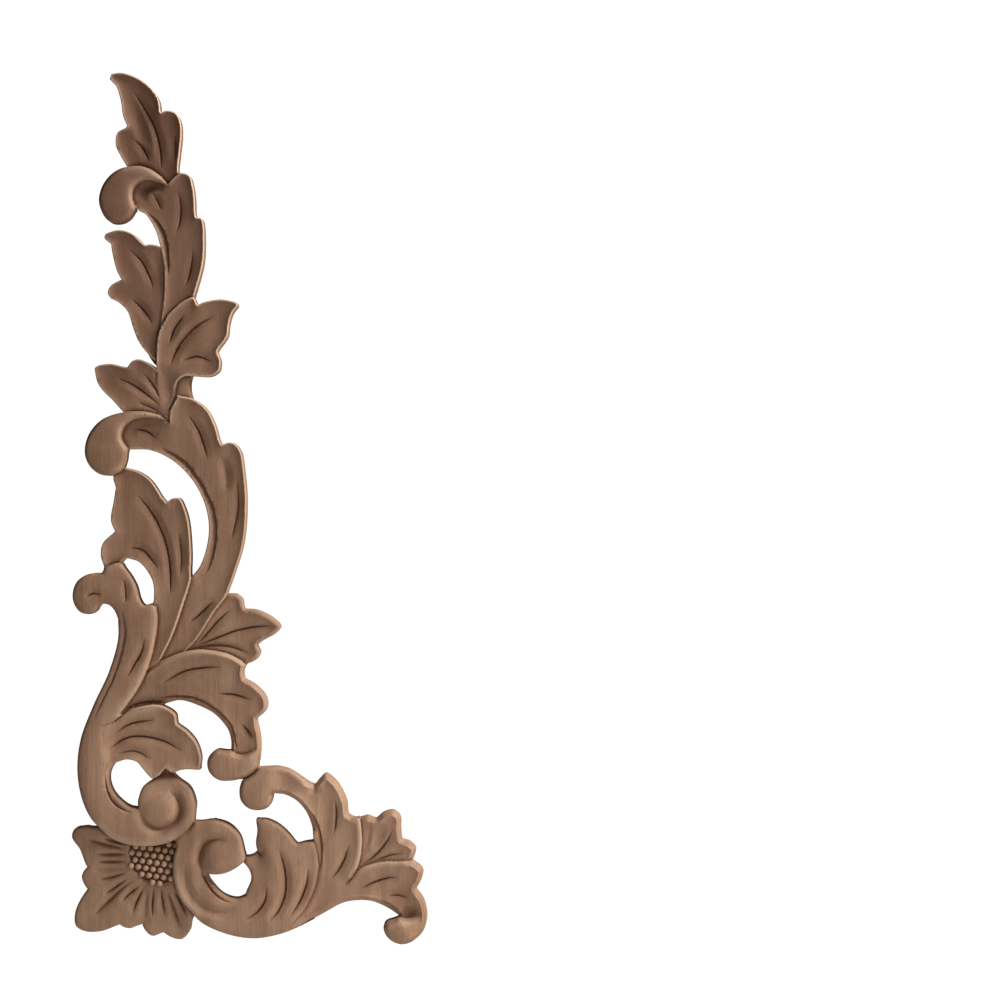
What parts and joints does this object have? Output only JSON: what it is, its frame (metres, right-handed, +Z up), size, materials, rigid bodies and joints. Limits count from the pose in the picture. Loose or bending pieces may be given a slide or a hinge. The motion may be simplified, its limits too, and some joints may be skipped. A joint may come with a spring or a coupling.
{
  "type": "carved wood corner applique",
  "caption": "Openwork carved wood corner applique: acanthus scrolls that climb one side and turn along the foot from a corner rosette, with a flat back for gluing on.",
  "frame": {"origin": "on the flat back, behind the middle of the seed head in the corner rosette", "axes": "+Z up along the tall arm, +X right along the short arm, +Y back into the surface the piece is fixed to; the carved face looks to -Y"},
  "size_m": [0.1228, 0.0098, 0.3004],
  "materials": {
    "wood": "unvarnished brown hardwood with a vertical grain, darker in the cuts"
  },
  "bodies": {
    "root": {"applique": "wood"}
  },
  "joints": []
}
